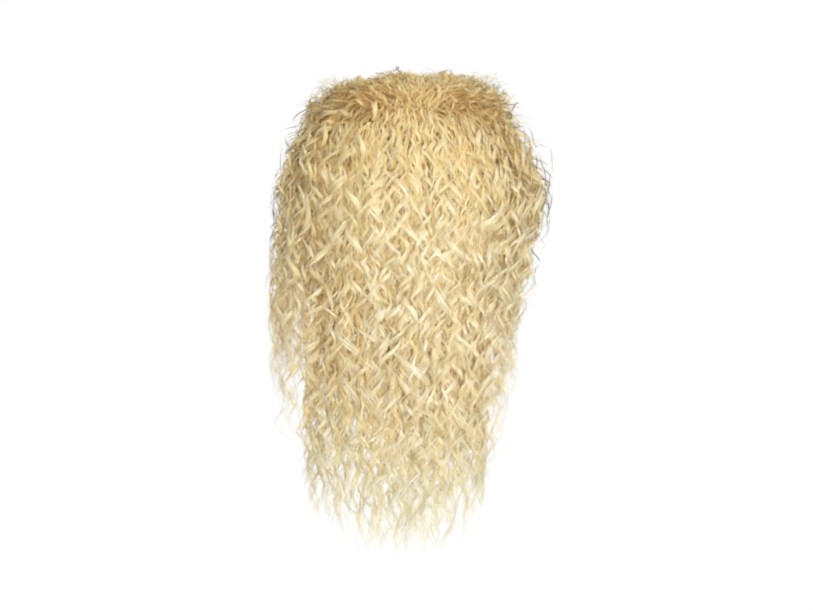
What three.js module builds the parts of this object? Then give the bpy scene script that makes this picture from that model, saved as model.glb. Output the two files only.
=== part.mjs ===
// Long, layered, tightly waved blonde cosplay wig: an open net cap that a head goes into, and the
// masses of hair sewn to it (crown, fringe, two sides, upper back and the long tail below it).
// Millimetres, +Z up, face towards -Y, back of the head towards +Y, wearer's left towards +X.
// The origin is the inside of the cap at its crown, where the top of the head sits.
import * as THREE from "three";

// ---------------------------------------------------------------- driving sizes
const CAP_WALL = 1.5; // elastic net
const RIM_HEM = 1.0; // extra wall in the elastic hem round the cap's edge
const HEM_DEPTH = 9; // how far the hem reaches up from the edge
const PIECE_GAP_DEG = 2.2; // between neighbouring masses of hair, round the head
const PIECE_GAP_ROWS = 0.1; // between the crown and what hangs under it, in section rows
const LAYER_GAP = 0.05; // between the tail and the layer over it, as a share of the hair's depth

// Inside of the cap: the head's own form, one row for each level from the crown down.
const HEAD_SECTIONS = [
  { z: 0, half_width: 0, front: 0, back: 0 },
  { z: -4, half_width: 28, front: 33, back: 36 },
  { z: -15, half_width: 50, front: 58, back: 62 },
  { z: -34, half_width: 65, front: 78, back: 83 },
  { z: -60, half_width: 73, front: 91, back: 95 },
  { z: -90, half_width: 76, front: 95, back: 98 },
  { z: -118, half_width: 75, front: 92, back: 94 },
  { z: -144, half_width: 68, front: 84, back: 82 },
  { z: -172, half_width: 58, front: 74, back: 67 },
];

// The cap's edge: level below the crown at each place round the head (0 = left ear, 90 = nape).
const CAP_EDGE = [
  { deg: -90, z: -62 },
  { deg: -50, z: -82 },
  { deg: -15, z: -108 },
  { deg: 15, z: -113 },
  { deg: 45, z: -128 },
  { deg: 90, z: -156 },
];

// Outer and inner surface of the hair, one row for each level. left, right, front and back are the
// reach of the outside from the head's axis; in_* are those of the inside; square is the section's
// exponent (2 is an ellipse, more is boxier, as where the hair hangs as a curtain).
const HAIR_SECTIONS = [
  { z: 31, left: 0, right: 0, front: 0, back: 0, in_z: 5, in_left: 0, in_right: 0, in_front: 0, in_back: 0, square: 2 },
  { z: 28, left: 40, right: 48, front: 46, back: 40, in_z: 1, in_left: 31, in_right: 31, in_front: 36, in_back: 39, square: 2 },
  { z: 21, left: 66, right: 78, front: 78, back: 66, in_z: -10, in_left: 54, in_right: 54, in_front: 62, in_back: 66, square: 2.05 },
  { z: 6, left: 90, right: 94, front: 100, back: 90, in_z: -31, in_left: 70, in_right: 70, in_front: 83, in_back: 88, square: 2.1 },
  { z: -16, left: 104, right: 101, front: 113, back: 110, in_z: -58, in_left: 78.5, in_right: 78.5, in_front: 97, in_back: 101, square: 2.15 },
  { z: -44, left: 113, right: 116, front: 119, back: 126, in_z: -78, in_left: 81, in_right: 81, in_front: 100.5, in_back: 103.5, square: 2.2 },
  { z: -78, left: 122, right: 130, front: 119, back: 136, in_z: -100, in_left: 81.5, in_right: 81.5, in_front: 100, in_back: 103, square: 2.25 },
  { z: -112, left: 127, right: 132, front: 112, back: 140, in_z: -124, in_left: 80.5, in_right: 80.5, in_front: 97, in_back: 99, square: 2.3 },
  { z: -150, left: 131, right: 122, front: 101, back: 138, in_z: -152, in_left: 79, in_right: 78, in_front: 90, in_back: 90, square: 2.4 },
  { z: -195, left: 133, right: 111, front: 90, back: 132, in_z: -195, in_left: 80, in_right: 74, in_front: 80, in_back: 84, square: 2.6 },
  { z: -245, left: 133, right: 105, front: 80, back: 128, in_z: -245, in_left: 86, in_right: 72, in_front: 70, in_back: 86, square: 3.0 },
  { z: -295, left: 134, right: 102, front: 70, back: 128, in_z: -295, in_left: 96, in_right: 74, in_front: 60, in_back: 98, square: 3.6 },
  { z: -340, left: 125, right: 93, front: 60, back: 131, in_z: -340, in_left: 98, in_right: 72, in_front: 50, in_back: 108, square: 4.4 },
  { z: -385, left: 119, right: 82, front: 60, back: 135, in_z: -385, in_left: 98, in_right: 70, in_front: 50, in_back: 116, square: 5 },
  { z: -420, left: 113, right: 76, front: 60, back: 137, in_z: -420, in_left: 96, in_right: 68, in_front: 50, in_back: 121, square: 5 },
  { z: -452, left: 98, right: 66, front: 60, back: 138, in_z: -452, in_left: 92, in_right: 64, in_front: 50, in_back: 125, square: 5 },
];

// Where each mass of hair sits round the head, and its grid. across and down are grid steps, locks the
// bundles of curls across it, swell how far a bundle stands proud, tip how far its end hangs lower.
const MASSES = {
  crown_hair: { from_deg: -90, to_deg: 270, across: 32, down: 7, locks: 16, swell: 2.6, tip: 0.1 },
  fringe: { from_deg: -130, to_deg: -50, across: 20, down: 6, locks: 5, swell: 3, tip: 0.3 },
  side_hair_left: { from_deg: -50, to_deg: 40, across: 16, down: 16, locks: 4, swell: 4, tip: 0.32 },
  side_hair_right: { from_deg: 140, to_deg: 230, across: 16, down: 16, locks: 4, swell: 4, tip: 0.32 },
  back_hair: { from_deg: 40, to_deg: 140, across: 32, down: 18, locks: 8, swell: 4, tip: 0.3 },
  long_tail: { from_deg: 40, to_deg: 140, across: 24, down: 16, locks: 6, swell: 2.6, tip: 0.3 },
};
const CROWN_ENDS_AT = 4.2; // section row where the crown gives way to what hangs below
const TAIL_STARTS_AT = 7.2; // section row of the lowest line of sewn hair, at the nape

// Lower end of each hanging mass, as a section row, at each place round the head.
const HEMS = {
  fringe: [
    { deg: -130, row: 6.7 },
    { deg: -90, row: 6.2 },
    { deg: -50, row: 6.7 },
  ],
  side_hair_left: [
    { deg: -50, row: 7.6 },
    { deg: -25, row: 9.2 },
    { deg: 0, row: 11.1 },
    { deg: 18, row: 11.6 },
    { deg: 40, row: 11.5 },
  ],
  side_hair_right: [
    { deg: 140, row: 11.5 },
    { deg: 162, row: 11.6 },
    { deg: 180, row: 11.1 },
    { deg: 205, row: 9.2 },
    { deg: 230, row: 7.6 },
  ],
  back_hair: [
    { deg: 40, row: 11.6 },
    { deg: 70, row: 12.0 },
    { deg: 110, row: 11.9 },
    { deg: 140, row: 11.6 },
  ],
  long_tail: [
    { deg: 40, row: 14.0 },
    { deg: 65, row: 14.3 },
    { deg: 100, row: 14.75 },
    { deg: 125, row: 14.4 },
    { deg: 140, row: 13.9 },
  ],
};

// Colours as they show: golden at the crown and roots, paler towards the long ends, straw-coloured net.
const GOLD = new THREE.Color(0.86, 0.69, 0.36);
const BLONDE = new THREE.Color(0.9, 0.77, 0.47);
const PALE = new THREE.Color(0.93, 0.84, 0.6);
const NET = new THREE.Color(0.83, 0.71, 0.5);

// ---------------------------------------------------------------- interpolation
const rad = THREE.MathUtils.degToRad;
const mix = THREE.MathUtils.lerp;
const smooth = (x, lo, hi) => THREE.MathUtils.smoothstep(x, lo, hi);

// A row of a table at a fractional place, by a cubic through its neighbours. Past the first row, the
// crown, the form goes down the other side: levels repeat and reaches change sign.
function rowAt(rows, at) {
  const last = rows.length - 1;
  const i = Math.min(Math.max(Math.floor(at), 0), last - 1);
  const u = Math.min(Math.max(at, 0), last) - i;
  const get = (k, key) => {
    if (k < 0) return /z$|square/.test(key) ? rows[-k][key] : -rows[-k][key];
    if (k > last) return 2 * rows[last][key] - rows[2 * last - k][key];
    return rows[k][key];
  };
  const out = {};
  for (const key of Object.keys(rows[0])) {
    const [a, b, c, d] = [get(i - 1, key), get(i, key), get(i + 1, key), get(i + 2, key)];
    out[key] = b + 0.5 * u * (c - a + u * (2 * a - 5 * b + 4 * c - d + u * (3 * (b - c) + d - a)));
  }
  return out;
}

// A value at a place round the head, eased between the table's places.
function roundHead(rows, deg, key) {
  const last = rows.length - 1;
  if (deg <= rows[0].deg) return rows[0][key];
  for (let i = 0; i < last; i++)
    if (deg <= rows[i + 1].deg)
      return mix(rows[i][key], rows[i + 1][key], smooth(deg, rows[i].deg, rows[i + 1].deg));
  return rows[last][key];
}

// A point of a section at an angle round it.
function onSection(deg, left, right, front, back, square) {
  const c = Math.cos(rad(deg));
  const s = Math.sin(rad(deg));
  const reach = Math.pow(Math.pow(Math.abs(c), square) + Math.pow(Math.abs(s), square), -1 / square);
  return [(c >= 0 ? left : right) * reach * c, (s >= 0 ? back : front) * reach * s];
}

// ---------------------------------------------------------------- surfaces
const headAt = (deg, row) => {
  const s = rowAt(HEAD_SECTIONS, row);
  const [x, y] = onSection(deg, s.half_width, s.half_width, s.front, s.back, 2.1);
  return new THREE.Vector3(x, y, s.z);
};

// The head's surface moved out by a distance along its own normal.
function headOffset(deg, row, out) {
  const p = headAt(deg, row);
  if (row < 1e-6) return p.add(new THREE.Vector3(0, 0, out));
  const e = 0.02;
  const down = headAt(deg, row + e).sub(headAt(deg, Math.max(row - e, 0)));
  const round = headAt(deg + 1, row).sub(headAt(deg - 1, row));
  return p.add(down.cross(round).normalize().multiplyScalar(out));
}

// A point in the hair: depth 0 is the side next to the head and 1 the outside.
function hairAt(deg, row, depth) {
  const s = rowAt(HAIR_SECTIONS, row);
  const [xo, yo] = onSection(deg, s.left, s.right, s.front, s.back, s.square);
  const [xi, yi] = onSection(deg, s.in_left, s.in_right, s.in_front, s.in_back, s.square);
  return new THREE.Vector3(mix(xi, xo, depth), mix(yi, yo, depth), mix(s.in_z, s.z, depth));
}

// ---------------------------------------------------------------- closed shells
// A solid between an outside and an inside, each a function of (i, j) on a grid: i round the head,
// j downwards. round closes it on itself; corners that meet, as at the crown, become one.
function shell(outside, inside, across, down, round) {
  const points = [];
  const index = [];
  const known = new Map();
  const vertex = (v) => {
    const key = [v.x, v.y, v.z].map((n) => Math.round(n * 500)).join();
    if (!known.has(key)) {
      known.set(key, points.length / 3);
      points.push(v.x, v.y, v.z);
    }
    return known.get(key);
  };
  const grid = (surface) =>
    Array.from({ length: across + 1 }, (_, i) =>
      Array.from({ length: down + 1 }, (_, j) => vertex(surface(round ? i % across : i, j))),
    );
  const triangle = (a, b, c) => {
    if (a !== b && b !== c && a !== c) index.push(a, b, c);
  };
  const quad = (a, b, c, d) => {
    triangle(a, b, c);
    triangle(a, c, d);
  };
  const o = grid(outside);
  const n = grid(inside);
  const poled = o[0][0] === o[1][0];
  for (let i = 0; i < across; i++) {
    for (let j = 0; j < down; j++) {
      quad(o[i][j], o[i][j + 1], o[i + 1][j + 1], o[i + 1][j]);
      quad(n[i][j], n[i + 1][j], n[i + 1][j + 1], n[i][j + 1]);
    }
    if (!poled) quad(o[i][0], o[i + 1][0], n[i + 1][0], n[i][0]);
    quad(o[i][down], n[i][down], n[i + 1][down], o[i + 1][down]);
  }
  if (!round)
    for (let j = 0; j < down; j++) {
      quad(o[0][j], n[0][j], n[0][j + 1], o[0][j + 1]);
      quad(o[across][j], o[across][j + 1], n[across][j + 1], n[across][j]);
    }
  const geometry = new THREE.BufferGeometry();
  geometry.setAttribute("position", new THREE.Float32BufferAttribute(points, 3));
  geometry.setIndex(index);
  geometry.computeVertexNormals();
  return geometry;
}

// ---------------------------------------------------------------- the cap
const CAP_ACROSS = 32;
const CAP_DOWN = 9;

// The section row at which the cap ends, found from the level of its edge there.
function capEndRow(deg) {
  const folded = deg > 90 ? 180 - deg : deg; // the edge is the same on both sides
  const level = roundHead(CAP_EDGE, folded, "z");
  let lo = 0;
  let hi = HEAD_SECTIONS.length - 1;
  for (let k = 0; k < 40; k++) {
    const mid = (lo + hi) / 2;
    if (rowAt(HEAD_SECTIONS, mid).z > level) lo = mid;
    else hi = mid;
  }
  return lo;
}

function capGeometry() {
  const place = (i, j) => {
    const deg = -90 + (360 * i) / CAP_ACROSS;
    const end = capEndRow(deg);
    // the last two steps are the hem
    const hem = HEM_DEPTH / 28;
    const row = j >= CAP_DOWN - 1 ? mix(end - hem, end, j - CAP_DOWN + 1) : ((end - hem) * j) / (CAP_DOWN - 1);
    return [deg, row, j >= CAP_DOWN - 1 ? CAP_WALL + RIM_HEM * (j === CAP_DOWN ? 1 : 0.6) : CAP_WALL];
  };
  const outside = (i, j) => {
    const [deg, row, wall] = place(i, j);
    return headOffset(deg, row, wall);
  };
  const inside = (i, j) => {
    const [deg, row] = place(i, j);
    return headAt(deg, row);
  };
  return shell(outside, inside, CAP_ACROSS, CAP_DOWN, true);
}

// ---------------------------------------------------------------- the hair
// How proud a bundle of curls stands at a place across a mass: 1 on its middle, -1 in the gap beside
// it. The bundles snake from side to side as they go down.
const SNAKE = 0.85; // how far a bundle snakes, in radians of its own width
const SNAKE_PITCH = 64; // length of one snaking wave down the hair
const bundle = (share, z, locks) =>
  Math.cos(2 * Math.PI * share * locks + Math.PI + SNAKE * Math.sin((2 * Math.PI * z) / SNAKE_PITCH));

function massGeometry(name) {
  const m = MASSES[name];
  const whole = name === "crown_hair";
  const gap = whole ? 0 : PIECE_GAP_DEG / 2;
  const from = m.from_deg + gap;
  const to = m.to_deg - gap;
  const degAt = (i) => mix(from, to, i / m.across);
  const start = whole ? 0 : name === "long_tail" ? TAIL_STARTS_AT : CROWN_ENDS_AT + PIECE_GAP_ROWS;
  const hemAt = (i) => {
    const share = i / m.across;
    const base = whole ? CROWN_ENDS_AT : roundHead(HEMS[name], degAt(i), "row");
    return whole ? base : base + m.tip * bundle(share, 0, m.locks);
  };
  const rowOf = (i, j) => mix(start, hemAt(i), j / m.down);

  // Depth of the outside and the inside. A hanging mass thins towards its ends; the upper back splits
  // off the cap over the tail, and the tail comes out to the surface once past it.
  const depthOut = (i, j) => {
    const v = j / m.down;
    const row = rowOf(i, j);
    if (whole) return 1;
    if (name === "long_tail") return mix(0.5 - LAYER_GAP / 2, 0.92, smooth(row, 12.3, 13.2)) - 0.12 * smooth(v, 0.8, 1);
    return 1 - 0.2 * smooth(v, 0.72, 1);
  };
  const depthIn = (i, j) => {
    const v = j / m.down;
    const row = rowOf(i, j);
    if (whole) return 0;
    if (name === "back_hair") return mix(0, 0.5 + LAYER_GAP / 2, smooth(row, 5.6, TAIL_STARTS_AT - 0.2));
    if (name === "long_tail") return 0.3 * smooth(v, 0.75, 1);
    return 0.45 * smooth(v, 0.6, 1);
  };
  const outside = (i, j) => {
    const row = rowOf(i, j);
    const p = hairAt(degAt(i), row, depthOut(i, j));
    const share = whole ? (i % m.across) / m.across : i / m.across;
    // the tail lies flat under the upper layer, and the crown has no bundles at its very top or its edge
    const free = whole
      ? smooth(row, 0.4, 2.5) - smooth(row, 3.3, CROWN_ENDS_AT)
      : name === "long_tail"
        ? smooth(row, 12.4, 13.1)
        : smooth(row, start, start + 0.9);
    const flat = Math.hypot(p.x, p.y) || 1;
    const proud = m.swell * free * bundle(share, p.z, m.locks);
    return p.add(new THREE.Vector3((p.x / flat) * proud, (p.y / flat) * proud, 0));
  };
  const inside = (i, j) => hairAt(degAt(i), rowOf(i, j), depthIn(i, j));
  return shell(outside, inside, m.across, m.down, whole);
}

// ---------------------------------------------------------------- the wig
function piece(name, geometry, color, roughness) {
  const mesh = new THREE.Mesh(geometry, new THREE.MeshStandardMaterial({ color, roughness, metalness: 0 }));
  mesh.name = name;
  return mesh;
}

const wig = new THREE.Group();
wig.name = "wig";
wig.add(piece("wig_cap", capGeometry(), NET, 0.9));
const hair = new THREE.Group();
hair.add(piece("crown_hair", massGeometry("crown_hair"), GOLD, 0.5));
hair.add(piece("fringe", massGeometry("fringe"), GOLD, 0.5));
hair.add(piece("side_hair_left", massGeometry("side_hair_left"), BLONDE, 0.5));
hair.add(piece("side_hair_right", massGeometry("side_hair_right"), BLONDE, 0.5));
hair.add(piece("back_hair", massGeometry("back_hair"), BLONDE, 0.5));
hair.add(piece("long_tail", massGeometry("long_tail"), PALE, 0.5));
wig.add(hair);

export default wig;
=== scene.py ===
# Looks of a long, layered, tightly waved blonde wig: thousands of curled strands gathered in locks,
# broad locks under them, loose flyaway hairs, and the net cap with its sewn rows inside.
import math

import bpy
import numpy as np
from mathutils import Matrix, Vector


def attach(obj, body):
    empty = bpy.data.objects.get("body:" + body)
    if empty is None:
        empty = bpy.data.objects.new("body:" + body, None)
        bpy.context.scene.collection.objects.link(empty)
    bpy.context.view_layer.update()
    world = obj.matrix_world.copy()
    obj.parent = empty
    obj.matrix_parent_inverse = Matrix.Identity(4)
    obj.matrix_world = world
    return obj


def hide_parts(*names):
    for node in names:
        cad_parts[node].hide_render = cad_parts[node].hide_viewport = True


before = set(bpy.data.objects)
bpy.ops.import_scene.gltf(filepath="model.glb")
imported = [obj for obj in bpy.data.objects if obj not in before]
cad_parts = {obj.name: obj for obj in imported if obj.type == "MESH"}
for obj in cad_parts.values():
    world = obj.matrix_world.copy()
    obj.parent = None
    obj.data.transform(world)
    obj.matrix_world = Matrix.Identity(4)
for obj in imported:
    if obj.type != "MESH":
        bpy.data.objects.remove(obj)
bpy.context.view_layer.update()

MM = 0.001
SEED = 41

# ------------------------------------------------------------------ the form, as in the part (mm)
# Outer and inner surface of the hair, one row for each level from the crown down.
HAIR_COLUMNS = ("z", "left", "right", "front", "back", "in_z", "in_left", "in_right", "in_front", "in_back", "square")
HAIR_ROWS = np.array([
    (31, 0, 0, 0, 0, 5, 0, 0, 0, 0, 2),
    (28, 40, 48, 46, 40, 1, 31, 31, 36, 39, 2),
    (21, 66, 78, 78, 66, -10, 54, 54, 62, 66, 2.05),
    (6, 90, 94, 100, 90, -31, 70, 70, 83, 88, 2.1),
    (-16, 104, 101, 113, 110, -58, 78.5, 78.5, 97, 101, 2.15),
    (-44, 113, 116, 119, 126, -78, 81, 81, 100.5, 103.5, 2.2),
    (-78, 122, 130, 119, 136, -100, 81.5, 81.5, 100, 103, 2.25),
    (-112, 127, 132, 112, 140, -124, 80.5, 80.5, 97, 99, 2.3),
    (-150, 131, 122, 101, 138, -152, 79, 78, 90, 90, 2.4),
    (-195, 133, 111, 90, 132, -195, 80, 74, 80, 84, 2.6),
    (-245, 133, 105, 80, 128, -245, 86, 72, 70, 86, 3.0),
    (-295, 134, 102, 70, 128, -295, 96, 74, 60, 98, 3.6),
    (-340, 125, 93, 60, 131, -340, 98, 72, 50, 108, 4.4),
    (-385, 119, 82, 60, 135, -385, 98, 70, 50, 116, 5),
    (-420, 113, 76, 60, 137, -420, 96, 68, 50, 121, 5),
    (-452, 98, 66, 60, 138, -452, 92, 64, 50, 125, 5),
    (-480, 92, 62, 60, 138, -480, 86, 60, 50, 126, 5),
], float)
HAIR_MIRROR = np.array([1, -1, -1, -1, -1, 1, -1, -1, -1, -1, 1], float)

# Inside of the cap: z, half width, front, back.
HEAD_ROWS = np.array([
    (0, 0, 0, 0),
    (-4, 28, 33, 36),
    (-15, 50, 58, 62),
    (-34, 65, 78, 83),
    (-60, 73, 91, 95),
    (-90, 76, 95, 98),
    (-118, 75, 92, 94),
    (-144, 68, 84, 82),
    (-172, 58, 74, 67),
], float)
HEAD_MIRROR = np.array([1, -1, -1, -1], float)

# The cap's edge: (place round the head in degrees, level); 0 is the left ear and 90 the nape.
CAP_EDGE = np.array([(-90, -62), (-50, -82), (-15, -108), (15, -113), (45, -128), (90, -156)], float)

# Lowest row that has sewn hair, and where hair ends, round the head from the front over the left ear.
ROOTS_END = np.array([(-90, 4.2), (-50, 5.1), (0, 6.4), (45, 7.2), (90, 7.9)], float)
HAIR_ENDS = np.array([(-90, 6.3), (-60, 6.8), (-45, 8.0), (-25, 9.4), (0, 11.2), (18, 11.7), (30, 12.0),
                      (36, 13.2), (42, 14.0), (56, 14.6), (75, 15.0), (90, 15.2)], float)

WHORL_DEG, WHORL_ROW = 93.5, 3.65
WHORL = WHORL_ROW * np.array([math.cos(math.radians(WHORL_DEG)), math.sin(math.radians(WHORL_DEG))])


def smooth(x, lo, hi):
    u = np.clip((x - lo) / (hi - lo), 0, 1)
    return u * u * (3 - 2 * u)


def rows_at(rows, mirror, at):
    """A table's row at fractional places, by a cubic through its neighbours."""
    last = len(rows) - 1
    ext = np.concatenate([(rows[1] * mirror)[None], rows, (2 * rows[-1] - rows[-2])[None]])
    at = np.clip(at, 0, last)
    i = np.clip(np.floor(at).astype(int), 0, last - 1)
    u = (at - i)[..., None]
    a, b, c, d = ext[i], ext[i + 1], ext[i + 2], ext[i + 3]
    return b + 0.5 * u * (c - a + u * (2 * a - 5 * b + 4 * c - d + u * (3 * (b - c) + d - a)))


def on_section(ang, left, right, front, back, square):
    c, s = np.cos(ang), np.sin(ang)
    reach = (np.abs(c) ** square + np.abs(s) ** square) ** (-1 / square)
    return np.where(c >= 0, left, right) * reach * c, np.where(s >= 0, back, front) * reach * s


def hair_at(ang, row, depth):
    """A point in the hair (mm): depth 0 is next to the head and 1 the outside."""
    r = rows_at(HAIR_ROWS, HAIR_MIRROR, row)
    z, le, ri, fr, ba, iz, il, ir, jf, ib, sq = np.moveaxis(r, -1, 0)
    xo, yo = on_section(ang, le, ri, fr, ba, sq)
    xi, yi = on_section(ang, il, ir, jf, ib, sq)
    mix = lambda a, b: a + (b - a) * depth
    return np.stack([mix(xi, xo), mix(yi, yo), mix(iz, z)], -1)


def round_head(table, ang):
    """A table's value round the head; both sides are alike."""
    deg = np.degrees(ang)
    deg = (deg + 90) % 360 - 90
    deg = np.where(deg > 90, 180 - deg, deg)
    return np.interp(deg, table[:, 0], table[:, 1])


def unit(v):
    return v / np.maximum(np.linalg.norm(v, axis=-1, keepdims=True), 1e-9)


# ------------------------------------------------------------------ how the hair runs
# The head is charted flat: the distance from the middle is the section row, the direction the place
# round the head. Hair leaves the whorl at the back of the crown in all directions, then falls.
def run_of(p, centre, turn=0.0):
    r = np.linalg.norm(p, axis=-1, keepdims=True)
    away = p - centre
    near = np.linalg.norm(away, axis=-1, keepdims=True)
    away = away / np.maximum(near, 1e-6)
    # close to the whorl the hair also turns round it
    t = turn * np.exp(-near / 1.1)
    c, q = np.cos(t), np.sin(t)
    away = np.concatenate([c * away[..., :1] - q * away[..., 1:], q * away[..., :1] + c * away[..., 1:]], -1)
    down = p / np.maximum(r, 1e-6)
    g = smooth(r, 3.0, 5.4) * smooth(near, 0.2, 2.0)
    return unit(away * (1 - g) + down * g)


STEP = 0.035
STEPS = 520


def trace(roots, centre, turn=0.0):
    """Charted paths of the locks that start at these roots: (locks, steps, 2)."""
    path = np.empty((len(roots), STEPS, 2))
    p = np.array(roots, float)
    for k in range(STEPS):
        path[:, k] = p
        v = run_of(p, centre, turn)
        v = run_of(p + v * STEP * 0.5, centre, turn)
        p = p + v * STEP
    return path


def charted(path):
    return np.arctan2(path[..., 1], path[..., 0]), np.linalg.norm(path, axis=-1)


def arc_length(points):
    step = np.linalg.norm(np.diff(points, axis=1), axis=-1)
    return np.concatenate([np.zeros((len(points), 1)), np.cumsum(step, 1)], 1)


class Head:
    """Lines from the whorl to the edge of the cap, all round, along which the hair is sewn on."""

    def __init__(self, count=1440):
        d = np.linspace(0, 2 * np.pi, count, endpoint=False) + 1e-3
        self.path = trace(WHORL + 0.03 * np.stack([np.cos(d), np.sin(d)], -1), WHORL)
        ang, row = charted(self.path)
        self.arc = arc_length(hair_at(ang, row, np.full(row.shape, 0.12)))
        # the edge is where the line is low enough and no longer climbs over the crown
        past = (row > round_head(ROOTS_END, ang)) & (np.gradient(row, axis=1) > 0)
        past[:, :4] = False
        k = past.argmax(1)
        i = np.arange(count)
        self.edge = self.arc[i, k]
        self.deg = (np.degrees(ang[i, k]) + 90) % 360 - 90
        self.order = np.argsort(self.deg)

    def sewn(self, rng, k, a):
        root = np.empty((len(k), 2))
        for j in range(len(k)):
            root[j, 0] = np.interp(a[j], self.arc[k[j]], self.path[k[j], :, 0])
            root[j, 1] = np.interp(a[j], self.arc[k[j]], self.path[k[j], :, 1])
        return root + rng.normal(size=root.shape) * 0.06, a, self.edge[k]

    def in_sector(self, rng, count, deg_from, deg_to, depth_from, depth_to):
        """Roots of locks that hang in a sector at these depths: root, distance from the whorl, edge."""
        # even steps round the sector, each moved a little, so that locks neither bunch nor leave gaps
        want = deg_from + (deg_to - deg_from) * ((rng.permutation(count) + rng.uniform(0, 1, count)) / count)
        deg = np.where(want < -90, want + 360, want)
        known = self.deg[self.order]
        k = self.order[np.clip(np.searchsorted(known, deg), 0, len(known) - 1)]
        depth = rng.uniform(depth_from, depth_to, count)
        a = np.maximum(self.edge[k] * np.sqrt(np.clip(1 - depth, 0, 1)), 3.0)
        return self.sewn(rng, k, a)

    def round_whorl(self, rng, count, reach_from, reach_to, even, toward):
        """Roots round the whorl, between two distances from it (mm) and two directions on the flat chart;
        even 0.5 spreads them by area."""
        part = toward[0] + (toward[1] - toward[0]) * (rng.permutation(count) + rng.uniform(0, 1, count)) / count
        k = (part / 360 * len(self.path)).astype(int) % len(self.path)
        a = reach_from + (reach_to - reach_from) * rng.random(count) ** even
        return self.sewn(rng, k, np.clip(a, 2.0, self.edge[k] * 0.97))


class Locks:
    """Guides of locks: charted path, length along the hair, and depth all the way along."""

    def __init__(self, rng, sewn, length, kind):
        roots, self.a, self.edge = sewn
        n = len(roots)
        # each lock has a whorl of its own, close by, so that locks cross there and no parting shows
        centre = WHORL + rng.normal(size=(n, 2)) * kind["cross"]
        self.path = trace(roots, centre, rng.uniform(0.0, 0.8, (n, 1)))
        ang, row = charted(self.path)
        self.s = arc_length(hair_at(ang, row, np.full(row.shape, 0.6)))
        # length: the cut of the wig, but no lower than its hem there
        want = rng.uniform(*length, n)
        hem = round_head(HAIR_ENDS, ang) + rng.uniform(*kind["hem"], (n, 1))
        past = (row > hem) & (row > 4)
        first = np.where(past.any(1), past.argmax(1), STEPS - 1)
        self.length = np.minimum(want, self.s[np.arange(n), first] * rng.uniform(*kind["layers"], n))
        self.lift = rng.uniform(*kind["lift"], n)
        self.under, self.flick = kind["under"], rng.uniform(*kind["flick"], n)
        self.root = rng.uniform(*kind["root"], n)

    def some(self, index):
        """These locks only."""
        part = object.__new__(Locks)
        part.a, part.edge, part.path, part.s = self.a[index], self.edge[index], self.path[index], self.s[index]
        part.length, part.lift, part.under = self.length[index], self.lift[index], self.under
        part.flick, part.root = self.flick[index], self.root[index]
        return part

    def sample(self, points, hidden):
        """Angle, row, arc length and depth along each lock: evenly, or with few points in its hidden part."""
        n = len(self.s)
        s = np.interp(np.linspace(0, 1, points), (0, 0.4 * hidden, 1), (0, hidden, 1))[None] * self.length[:, None]
        c = np.empty((n, points, 2))
        for i in range(n):
            c[i, :, 0] = np.interp(s[i], self.s[i], self.path[i, :, 0])
            c[i, :, 1] = np.interp(s[i], self.s[i], self.path[i, :, 1])
        ang, row = charted(c)
        b = np.minimum(self.a[:, None] + s, np.maximum(self.edge, self.a + 12)[:, None])
        d = 1 - (self.a[:, None] / np.maximum(b, 1e-6)) ** 2
        d = d * smooth(s, -6, 26)
        d = np.maximum(d, 0.1 * smooth(s, 0, 22))
        d = (d + (1 - d) * self.root[:, None]) * (1 - self.under)
        # the thin layer that hangs below the rest spreads to the outside there
        d = d + (0.75 - d) * 0.7 * smooth(row, 12.2, 13.6) * (d < 0.75)
        d = d * (1 + (self.lift[:, None] - 1) * smooth(s, 0, 40))
        return ang, row, s, d + self.flick[:, None] * smooth(s / self.length[:, None], 0.5, 1.0)


# ------------------------------------------------------------------ strands
class Mounds:
    """The mass is not even: soft mounds and hollows, the same for all the locks that pass there (mm)."""

    def __init__(self, seed, count=14, short=36.0, long=95.0, height=1.0):
        rng = np.random.default_rng(SEED + seed)
        self.wave = unit(rng.normal(size=(count, 3))) * (2 * np.pi / rng.uniform(short, long, (count, 1)))
        self.start = rng.uniform(0, 2 * np.pi, count)
        self.height = height * math.sqrt(2 / count)

    def at(self, p):
        return self.height * np.sin(p @ self.wave.T + self.start).sum(-1)


MOUNDS = Mounds(0, height=2.6)
# locks also draw together here and leave gaps there
GATHER = Mounds(1, short=26.0, long=60.0, height=1.7)


def ripple(rng, s, shape, short, long):
    """A slow uneven wave of height 1, of its own for each row."""
    both = 0.0
    for share in (0.62, 0.38):
        both = both + share * np.sin(2 * np.pi * s / rng.uniform(short, long, shape) + rng.uniform(0, 2 * np.pi, shape))
    return both


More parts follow.
